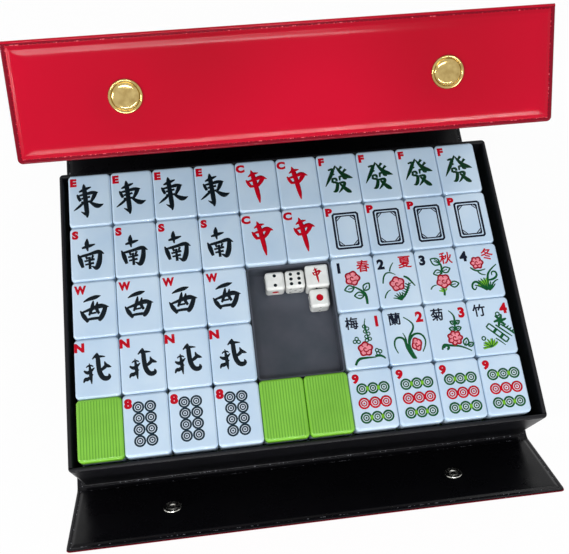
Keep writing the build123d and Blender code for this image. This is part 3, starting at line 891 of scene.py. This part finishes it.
# %% The four flowers
BUDS = ((0.9, 6.6), (2.3, 5.4), (1.0, 4.0), (2.5, 2.7), (1.3, 1.3), (2.8, 0.0), (1.2, -0.6),
        (-3.8, 0.6), (-4.9, -0.8), (-3.0, -1.0), (5.5, -6.2), (7.0, -6.9), (5.9, -7.8))
plum = bloom(-0.1, -5.0, 3.3, 5, 0.3) + [
    strokes("green", blades((1.6, (-6.2, -12.8), (-5.0, -9.8), (-1.0, -9.4), (4.4, -9.6)),
                            (1.8, (4.2, -9.2), (7.2, -8.2), (9.2, -10.8)),
                            (0.9, (2.4, -1.0), (1.6, 3.4), (0.8, 7.6), (2.0, 10.8))))] + [
    ring("green", x, y, 0.85, 0.62, 12) for x, y in BUDS]
orchid = bloom(4.0, -5.3, 2.3, 4, 0.4, 1.35) + [
    strokes("green", blades((1.3, (2.6, -12.6), (-0.2, -7.0), (0.6, -1.0), (4.0, 3.2), (3.4, 6.6), (-0.6, 9.4)),
                            (1.3, (1.2, -12.4), (-1.4, -7.6), (-1.6, -1.4), (-6.2, -0.6), (-7.8, -5.4), (-6.0, -9.0)),
                            (1.3, (1.9, -12.6), (-0.8, -6.6), (2.2, 0.2), (7.4, 0.2), (9.4, -5.2), (6.4, -9.4)),
                            (1.0, (1.6, -12.0), (-1.4, -5.0), (-0.8, -1.6), (-2.2, 1.2))))]
mum = bloom(1.9, -4.2, 3.4, 7) + [
    strokes("green", blades((1.4, (-5.6, -9.6), (-5.0, -6.6), (-1.4, -7.8), (4.8, -8.6), (9.2, -11.6)))
            + [curl(-3.2, -8.8, 1.5, -1, 1.4)] + blades((1.2, (2.4, -0.6), (3.4, 4.2), (3.4, 8.4), (1.0, 10.4)))
            + leaf(2.8, 0.2, 3.0, 165) + leaf(3.0, 0.2, 3.0, 15) + leaf(3.2, 3.2, 2.6, 150) + leaf(3.4, 3.2, 2.6, 30)
            + leaf(6.4, -8.6, 4.0, 70) + leaf(7.8, -8.8, 3.0, 20))]


def stalk_points(*places):
    """Points on the leaning stalk of the bamboo: millimetres down it and across it."""
    c, s = cos(radians(-45)), sin(radians(-45))
    return [(-2.3 + down * c - across * s, 0.6 + down * s + across * c) for down, across in places]


stalk = [[(x, y, 0.8) for x, y in stalk_points(*((down, across) for down in (0.2, 4.0, 8.0, 12.2)))]
         for across in (-1.25, 1.25)]
rungs = [[(x, y, 0.8) for x, y in stalk_points(*((down, across) for across in (-1.3, 0, 1.3)))]
         for down in (0, 4.2, 4.9, 8.4, 9.1, 12.4)]
bamboo = [strokes("green", stalk + rungs + blades((1.2, *stalk_points((3, 2.8), (9, 3.0), (13, 3.2))),
                                                  (0.9, *stalk_points((7, -3.0), (10, -2.6), (13, -2.8))))
                  + fern(stalk_points((13, 5.2), (9, 5.2), (5, 4.8)), 1.4, 5, 1.3)
                  + tuft(4.6, 2.6, 3.4, -60, 240, 6, 2.0)),
          strokes("lime", tuft(-2.4, -10.6, 4.2, 20, 180, 7, 1.7), rise=HIGH_PAINT),
          strokes("green", tuft(-2.4, -10.8, 4.6, 30, 170, 5, 0.9)),
          ring("green", 4.0, 6.0, 0.95, 0.7, 14), ring("green", -5.6, -6.0, 0.95, 0.7, 14)]
for step, (plant, symbol) in enumerate(((plum, "梅"), (orchid, "蘭"), (mum, "菊"), (bamboo, "竹"))):
    bonus(f"flower_{step + 1}_marks", str(step + 1), "red", symbol, "navy", 1, plant, tile_centre(7 + step, 4))

# %% [markdown]
# ## Dice
# The frame's dice already have their rounded edges and dished pips. Paint lies in the bottom of each dish,
# so a thin dot is laid in each one: black, and a large red one for the one. The wind die has flat sides,
# with a small brushed character on each.

# %% Pips
PIP_STEP = 2.6
PIP_DEEP = 0.32  # from the die's side to the foot of the paint
PIP_RISE = 0.06 * MM
PIP_RADIUS, ONE_RADIUS = 0.92, 1.86
PIPS = {
    1: [(0, 0)],
    2: [(0, 1), (0, -1)],
    3: [(-1, 1), (0, 0), (1, -1)],
    4: [(-1, 1), (-1, -1), (1, 1), (1, -1)],
    5: [(-1, 1), (-1, -1), (0, 0), (1, 1), (1, -1)],
    6: [(side, step) for side in (-0.8, 0.8) for step in (-1, 0, 1)],
}


def side_frame(die_box, normal, x_dir, deep):
    """The matrix that lays a drawing on one side of a die, deep mm under it."""
    centre = (die_box[0] + die_box[1]) / 2
    half = (die_box[1].x - die_box[0].x) / 2 - deep * MM
    z, x = Vector(normal), Vector(x_dir)
    return Matrix.Translation(centre + z * half) @ Matrix((x, z.cross(x), z)).transposed().to_4x4()


def paint_pips(name, top, front, right):
    sides = ((top, (0, 0, 1), (1, 0, 0)), (7 - top, (0, 0, -1), (1, 0, 0)),
             (front, (0, -1, 0), (1, 0, 0)), (7 - front, (0, 1, 0), (1, 0, 0)),
             (right, (1, 0, 0), (0, 1, 0)), (7 - right, (-1, 0, 0), (0, 1, 0)))
    pieces = []
    for value, normal, x_dir in sides:
        tint, radius = ("red", ONE_RADIUS) if value == 1 else ("black", PIP_RADIUS)
        for u, v in PIPS[value]:
            dot = spot(tint, u * PIP_STEP, v * PIP_STEP, radius, 16, rise=PIP_RISE)
            dot.data.transform(side_frame(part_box(name), normal, x_dir, PIP_DEEP))
            pieces.append(dot)
    piece = joined(pieces, f"{name}_pips")
    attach(piece, name)
    print(piece.name, "dots:", len(pieces))


paint_pips("die_two", 2, 1, 3)
paint_pips("die_six", 6, 5, 3)
paint_pips("die_one", 1, 2, 3)

# %% Wind die
WIND_SIDES = (  # strokes, ink, width, height, the side's normal and the drawing's x
    (RED_DRAGON, "red", 4.6, 8.2, (0, 0, 1), (1, 0, 0)),
    (EAST, "black", 7.0, 7.4, (0, -1, 0), (1, 0, 0)),
    (SOUTH, "black", 6.4, 7.2, (1, 0, 0), (0, 1, 0)),
    (WEST, "black", 7.0, 6.8, (0, 1, 0), (-1, 0, 0)),
    (NORTH, "black", 6.4, 7.0, (-1, 0, 0), (0, -1, 0)),
    (GREEN_DRAGON, "pine", 6.6, 6.8, (0, 0, -1), (1, 0, 0)),
)
wind_pieces = []
for lines, ink_name, width, height, normal, x_dir in WIND_SIDES:
    mark = character(ink_name, lines, width, height)
    mark.data.transform(side_frame(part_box("wind_die"), normal, x_dir, 0))
    wind_pieces.append(mark)
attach(joined(wind_pieces, "wind_die_marks"), "wind_die")
print("wind die sides:", len(wind_pieces))

# %% [markdown]
# ## Vinyl cover
# Each panel of the cover is a board between two sheets, red outside and black inside. The sheets are welded
# together all round it, so a sheet is flat at the weld, climbs over the board's edge and then lies a little
# loose over the board. The outer sheets of the lid and the flaps are padded, and dip round each snap. Cloth
# simulation would blow such a tight sheet up like a cushion, so the sheet is shaped directly: a grid is
# added, its lines are gathered near the weld, where the form changes quickly, and each point is lifted by
# its distance from the edge. Free corners are rounded by drawing the grid's square corner onto a quarter
# circle. Solidify then gives the sheet its thickness.

# %% Sheet shape
SPINE_ANGLE, LID_ANGLE, SNAP_FLAP_ANGLE, FRONT_FLAP_ANGLE = 50.0, 106.5, 220.0, 130.0
CREASE_INSET = 1.0
SHEET = 0.34  # thickness
WELD = 0.4  # height of the welded margin over the middle of the panel
FACE = 1.0  # height of the face over the board
SEAM_WIDTH = 2.6
CORNER = 2.2
LOOSE = 0.22  # how far the sheet wanders over the board
PUFF = 1.1  # how far a padded outer face stands over a flat one
LIP = 0.8  # how far the red sheet shows past the black one at a free edge
GRID_PITCH = 3.0
NEAR_LINE = 0.05  # grid lines closer than this to a crease are left out
DIP_FROM, DIP_WIDTH = 7.0, 9.0  # the dip in the padding round a snap
SNAP_CLEAR = 12.0  # the sheet doesn't wander this close to a snap
SNAP_SPACING = 142.0
SOCKET_PLACES = [(side * SNAP_SPACING / 2, 26.2) for side in (-1, 1)]  # on the snap flap, from its crease
STUD_PLACES = [(side * SNAP_SPACING / 2, 26.0) for side in (-1, 1)]  # on the front flap
cover_width = (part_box("lid_outer_skin")[1].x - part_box("lid_outer_skin")[0].x) / MM


def crease(name):
    """The place of a fold: the middle of its bead, as (y, z) in mm."""
    low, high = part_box(name)
    return (low.y + high.y) / 2 / MM, (low.z + high.z) / 2 / MM


def eased(value):
    value = min(max(value, 0.0), 1.0)
    return value * value * (3 - 2 * value)


def height_over(edge, puff=0.0):
    """Height of the sheet over the panel's middle at a distance from the edge, in mm."""
    lip = WELD * (0.45 + 0.55 * eased(edge / 0.6))
    weld = (WELD_FROM + WELD_TO) / 2
    pinch = 0.12 * (1 - abs(edge - weld) / 0.5) if abs(edge - weld) < 0.5 else 0.0
    climb = (FACE - WELD - 0.1) * eased((edge - SEAM_WIDTH + 0.5) / 1.5)
    crown = 0.1 * eased((edge - SEAM_WIDTH - 0.4) / 9)
    shoulder = puff * (0.55 * eased((edge - SEAM_WIDTH + 0.3) / 5) + 0.45 * eased((edge - SEAM_WIDTH) / 18))
    return lip - pinch + climb + crown + shoulder


def lines_across(low, high, gather_low, gather_high):
    """Where the grid's lines go from low to high, gathered near either edge."""
    close = [0.0, 0.3, 0.6, 1.0, 1.4, 1.7, 1.9, 2.1, 2.4, 2.7, 3.0, 3.4, 3.9, 4.5, 5.2, 6.0, 7.4, 9.4, 12.0]
    found = [low + step for step in close if step >= gather_low]
    found += [high - step for step in close if step >= gather_high]
    first, last = low + close[-1], high - close[-1]
    count = max(int(floor((last - first) / GRID_PITCH)), 1)
    found += [first + (last - first) * step / count for step in range(1, count)]
    return sorted(found)


print("height at the weld, the step and the middle, mm:", [round(height_over(e), 2) for e in (1.6, 4, 30)])


# %% Grid and wall
def grid_piece(name, across, along_panel):
    """A flat grid with that many cells each way and a seam map, ready to be shaped."""
    bpy.ops.object.select_all(action="DESELECT")
    bpy.ops.mesh.primitive_grid_add(x_subdivisions=across, y_subdivisions=along_panel, size=2)
    piece = bpy.context.object
    piece.name = name
    return piece, piece.data, piece.data.uv_layers.new(name="seam")


def cell_of(vertex, across, along_panel):
    """The column and row of a grid's vertex before it is moved."""
    return round((vertex.co.x + 1) / 2 * across), round((vertex.co.y + 1) / 2 * along_panel)


def walled(piece, thickness, offset, rim=None):
    """Give a sheet its thickness in mm. With a rim, the far side takes the second material, and the rim that one."""
    select_only(piece)
    wall = piece.modifiers.new("wall", "SOLIDIFY")
    wall.thickness = thickness * MM
    wall.offset = offset
    if rim is not None:
        wall.material_offset = 1
        wall.material_offset_rim = rim
    bpy.ops.object.modifier_apply(modifier="wall")
    bpy.ops.object.shade_smooth()


print("lines across the cover:", len(lines_across(-cover_width / 2, cover_width / 2, 0, 0)))


# %% Sheet builder
def panel_frame(place, angle, turned=1):
    """From a panel's own frame (across, along from the crease, up to the inner side) to the case's."""
    tilt = radians(angle)
    x = Vector((turned, 0, 0))
    z = Vector((0, -turned * sin(tilt), turned * cos(tilt)))
    turn = Matrix((x, z.cross(x), z)).transposed().to_4x4()
    return Matrix.Translation(Vector((0, *place)) * MM) @ turn


def rounded(x, y, half, length):
    """A point of a free corner drawn onto a quarter circle, and its distance from the edge."""
    u, v = abs(x) - (half - CORNER), y - (length - CORNER)
    reach = max(u, v) / hypot(u, v) if hypot(u, v) > 0 else 0
    return (half - CORNER + u * reach) * (1 if x > 0 else -1), length - CORNER + v * reach, CORNER - max(u, v)


def slack_at(x, y, edge, side, angle):
    """How far the sheet wanders over the board, in shares of LOOSE."""
    broad = noise.noise(Vector((x / 44, y / 34, side * 7.3 + angle)))
    wander = broad + 0.3 * noise.noise(Vector((x / 17, y / 21, angle)))
    return eased((edge - 5) / 10) * min(wander - 0.4, 0.3)


def sheet(name, place, angle, length, side, free_edge, made, turned, calm, puff, dimples):
    """One vinyl sheet of a panel; side 1 is the inner one and -1 the outer one. It dips round each snap."""
    half = cover_width / 2
    xs = lines_across(-half, half, 0, 0)
    length -= LIP if free_edge and side > 0 else 0
    ys = lines_across(0, length, CREASE_INSET, 0 if free_edge else CREASE_INSET)
    ys = [CREASE_INSET] + [y for y in ys if y > CREASE_INSET + NEAR_LINE]
    if not free_edge:
        ys = [y for y in ys if y < length - CREASE_INSET - NEAR_LINE] + [length - CREASE_INSET]
    cells = len(xs) - 1, len(ys) - 1
    piece, mesh, seam = grid_piece(name, *cells)
    spots = []
    for vertex in mesh.vertices:
        column, row = cell_of(vertex, *cells)
        x, y = xs[column], ys[row]
        edge = min(half - abs(x), y, length - y)
        if free_edge and abs(x) > half - CORNER and y > length - CORNER:
            x, y, edge = rounded(x, y, half, length)
        snap = min([hypot(x - sx, y - sy) for sx, sy in dimples], default=99.0)
        full = puff * eased((snap - DIP_FROM) / DIP_WIDTH)
        slack = LOOSE * calm * slack_at(x, y, edge, side, angle) if snap > SNAP_CLEAR else 0.0
        vertex.co = (x, y, side * (height_over(edge, full) + slack))
        spots.append((x, y, edge))
    for face in mesh.polygons:
        x, y = (sum(spots[v][axis] for v in face.vertices) / len(face.vertices) for axis in (0, 1))
        beside = half - abs(x) < min(y, length - y)
        for loop in face.loop_indices:
            px, py, edge = spots[mesh.loops[loop].vertex_index]
            seam.data[loop].uv = (py if beside else px, edge)
    mesh.transform(Matrix.Scale(MM, 4))
    mesh.transform(panel_frame(place, angle, turned))
    if side < 0:
        mesh.flip_normals()
    mesh.materials.append(made)
    walled(piece, SHEET, -1)
    print(name, "faces:", len(mesh.polygons))
    return piece


# %% The five panels
front_crease, back_crease = crease("front_crease"), crease("back_crease")
spine_crease, lid_crease, snap_crease = crease("spine_crease"), crease("lid_crease"), crease("snap_crease")
lid_length = hypot(snap_crease[0] - lid_crease[0], snap_crease[1] - lid_crease[1])


def far_edge(node_name, place):
    """Length of a flap: from its crease to the far edge of its skin."""
    points = [vertex.co for vertex in nodes[node_name].data.vertices]
    return max(hypot(point.y / MM - place[0], point.z / MM - place[1]) for point in points)


snap_length = far_edge("snap_flap_outer_skin", snap_crease)
front_length = far_edge("front_flap_outer_skin", front_crease)
PANELS = (  # name, body, crease, angle, length, whether its far edge is free, 1 or -1 where it is turned round
    ("bottom_panel", "tray_base", front_crease, 0, back_crease[0] - front_crease[0], False, 1),
    ("back_panel", "back_panel", back_crease, 0, spine_crease[0] - back_crease[0], False, 1),
    ("lid", "lid", lid_crease, LID_ANGLE, lid_length, False, 1),
    ("snap_flap", "snap_flap", snap_crease, SNAP_FLAP_ANGLE, snap_length, True, 1),
    ("front_flap", "front_flap", front_crease, FRONT_FLAP_ANGLE, front_length, True, -1),
)
for name, body, place, angle, length, free_edge, turned in PANELS:
    for side, shade, made in ((-1, "red", red_vinyl), (1, "black", black_vinyl)):
        calm = 0.0 if (name == "bottom_panel" and side > 0) else 1.0
        puff = PUFF if side < 0 and name in ("lid", "snap_flap", "front_flap") else 0.0
        snaps = {"snap_flap": SOCKET_PLACES, "front_flap": STUD_PLACES}.get(name, ())
        piece = sheet(f"{name}_{shade}_vinyl", place, angle, length, side, free_edge, made, turned, calm, puff, snaps)
        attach(piece, body)
        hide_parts(f"{name}_{'outer' if side < 0 else 'inner'}_skin")
print("flap lengths, mm:", round(snap_length, 1), round(front_length, 1))

# %% [markdown]
# ## Folds
# Between two panels the red and the black sheet are welded flat together and bend as one. A fold is a
# strip across the crease, bent along a smooth curve through it, and thick as both sheets. Its outer side is
# red and its inner side black. It is made once, in its bend at rest, and is not tied to either panel. Behind
# the lid, two millimetres of the same doubled vinyl join two folds as the spine.

# %% Folds
STRIP_COLUMNS = 48
FOLD_STEPS, SPINE_STEPS = 10, 4
IN_FROM_EDGE = 6  # a fold has no weld, so its seam map says that the edge is this far off, mm


def along(place, angle, distance):
    return place[0] + distance * cos(radians(angle)), place[1] + distance * sin(radians(angle))


def double_vinyl(name, path, out=-1):
    """A strip of both sheets as wide as the cover, along a path of (y, z) in mm."""
    cells = STRIP_COLUMNS, len(path) - 1
    piece, mesh, seam = grid_piece(name, *cells)
    for vertex in mesh.vertices:
        column, row = cell_of(vertex, *cells)
        vertex.co = Vector(((column / STRIP_COLUMNS - 0.5) * cover_width, *path[row])) * MM
    for loop in mesh.loops:
        seam.data[loop.index].uv = (mesh.vertices[loop.vertex_index].co.x / MM, IN_FROM_EDGE)
    mesh.materials.append(black_vinyl)
    mesh.materials.append(red_vinyl)
    if out > 0:
        mesh.flip_normals()
    walled(piece, 2 * WELD, 0, 1 if out < 0 else 0)
    return piece


def fold(name, place, angle_in, angle_out, crease_node, out=-1):
    """The strip over a crease: the first panel ends there at angle_in and the next leaves at angle_out."""
    start, end = along(place, angle_in, -CREASE_INSET), along(place, angle_out, CREASE_INSET)
    piece = double_vinyl(name, [bent(step / FOLD_STEPS, start, place, end) for step in range(FOLD_STEPS + 1)], out)
    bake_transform(piece)
    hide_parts(crease_node)
    print(name, "bends by", round(angle_out - angle_in, 1), "degrees at rest")


fold("back_fold", back_crease, 0, 0, "back_crease")
fold("spine_fold", spine_crease, 0, SPINE_ANGLE, "spine_crease")
fold("lid_fold", lid_crease, SPINE_ANGLE, LID_ANGLE, "lid_crease")
fold("snap_fold", snap_crease, LID_ANGLE, SNAP_FLAP_ANGLE, "snap_crease")
fold("front_fold", front_crease, 180, FRONT_FLAP_ANGLE, "front_crease", out=1)

# %% Spine strip
strip_start = Vector(along(spine_crease, SPINE_ANGLE, CREASE_INSET))
strip_end = Vector(along(lid_crease, SPINE_ANGLE, -CREASE_INSET))
spine_cover = double_vinyl("spine_cover", [strip_start.lerp(strip_end, step / SPINE_STEPS)
                                           for step in range(SPINE_STEPS + 1)])
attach(spine_cover, "spine")
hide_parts("spine_strip")
print("spine strip, mm:", round((strip_end - strip_start).length, 1))

# %% [markdown]
# ## Snaps
# A press snap is four pressed metal parts. Outside the snap flap there is a brass cap, a shallow dome in a
# rolled rim, and behind it the socket with its ring of spring. On the front flap a stud pokes out, and its
# post shows inside as a small ring with a hollow. All are round, so each is a half profile turned by spin.


# %% Turned parts
def turned_part(name, profile, made, places, frame_matrix, body, replaced):
    """Spin a profile of (radius, height) in mm about its axis, and set a copy at each place of a panel."""
    bpy.ops.object.select_all(action="DESELECT")
    bpy.ops.mesh.primitive_plane_add(size=1 * MM)
    pattern = bpy.context.object
    bpy.ops.object.mode_set(mode="EDIT")
    bpy.ops.mesh.select_all(action="SELECT")
    bpy.ops.mesh.delete(type="VERT")
    bpy.ops.object.mode_set(mode="OBJECT")
    pattern.data.from_pydata([(radius * MM, 0, height * MM) for radius, height in profile],
                             [(step, step + 1) for step in range(len(profile) - 1)], [])
    bpy.ops.object.mode_set(mode="EDIT")
    bpy.ops.mesh.select_all(action="SELECT")
    bpy.ops.mesh.spin(steps=40, angle=2 * pi, center=(0, 0, 0), axis=(0, 0, 1))
    bpy.ops.mesh.select_all(action="SELECT")
    bpy.ops.mesh.remove_doubles(threshold=0.00001)
    bpy.ops.mesh.normals_make_consistent(inside=False)
    bpy.ops.object.mode_set(mode="OBJECT")
    pattern.data.materials.append(made)
    copies = [copied(pattern, Vector((x, y, 0)) * MM) for x, y in places]
    bpy.data.objects.remove(pattern)
    piece = joined(copies, name)
    piece.data.transform(frame_matrix)
    bpy.ops.object.shade_smooth_by_angle(angle=radians(40))
    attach(piece, body)
    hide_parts(replaced)
    print(name, "faces:", len(piece.data.polygons))
    return piece


snap_frame = panel_frame(snap_crease, SNAP_FLAP_ANGLE)
front_frame = panel_frame(front_crease, FRONT_FLAP_ANGLE, -1)

dome = [(0, -2.15), (1.6, -2.13), (3.2, -2.04), (4.6, -1.86), (5.7, -1.6), (6.05, -1.25), (6.35, -1.55),
        (6.7, -1.86), (7.05, -1.92), (7.38, -1.72), (7.5, -1.4), (7.42, -1.08), (7.2, -0.92), (1.5, -0.92),
        (1.5, 0.9), (0, 0.9)]
turned_part("brass_caps", dome, brass, SOCKET_PLACES, snap_frame, "snap_flap", "snap_caps")

socket = [(2.5, 1.0), (5.3, 1.0), (5.5, 1.15), (5.5, 1.5), (5.2, 1.72), (4.7, 1.78), (4.3, 1.62), (4.0, 1.62),
          (3.7, 1.95), (3.3, 2.25), (2.85, 2.3), (2.5, 2.15), (2.5, 1.0)]
turned_part("socket_rings", socket, nickel, SOCKET_PLACES, snap_frame, "snap_flap", "snap_sockets")

stud = [(0, -2.6), (0.9, -2.68), (1.6, -2.62), (2.1, -2.3), (2.2, -2.0), (1.9, -1.65), (2.2, -1.5), (4.3, -1.5),
        (4.7, -1.38), (4.8, -1.15), (4.7, -0.98), (1.5, -0.98), (1.5, 0.98), (0, 0.98)]
turned_part("ball_studs", stud, nickel, STUD_PLACES, front_frame, "front_flap", "snap_studs")

post = [(0, 1.05), (0.9, 1.05), (1.3, 1.12), (1.55, 1.35), (1.8, 1.62), (2.15, 1.66), (2.45, 1.5), (2.75, 1.22),
        (3.3, 1.16), (3.8, 1.3), (4.15, 1.48), (4.45, 1.42), (4.6, 1.15), (4.55, 0.98), (0, 0.98)]
turned_part("post_rings", post, nickel, STUD_PLACES, front_frame, "front_flap", "snap_posts")
